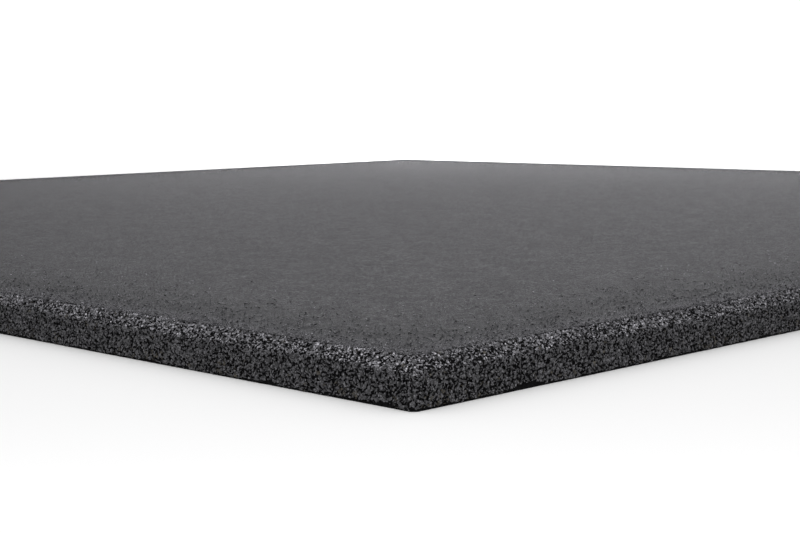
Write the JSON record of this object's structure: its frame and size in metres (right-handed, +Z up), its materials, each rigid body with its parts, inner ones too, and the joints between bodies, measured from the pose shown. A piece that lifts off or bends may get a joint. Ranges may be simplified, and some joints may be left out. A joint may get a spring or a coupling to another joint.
{
  "type": "rubber gym floor tile",
  "caption": "Square black floor tile moulded from bonded rubber crumb, with a flat top, upright sides and a bevel all round the top edge.",
  "frame": {"origin": "centre of the flat underside", "axes": "+Z up, from the underside to the top face; +X and +Y along the tile's sides"},
  "size_m": [1, 1, 0.015],
  "materials": {
    "crumb_rubber": "matt, granular, bonded rubber crumb"
  },
  "bodies": {
    "root": {"rubber_tile": "crumb_rubber"}
  },
  "joints": []
}
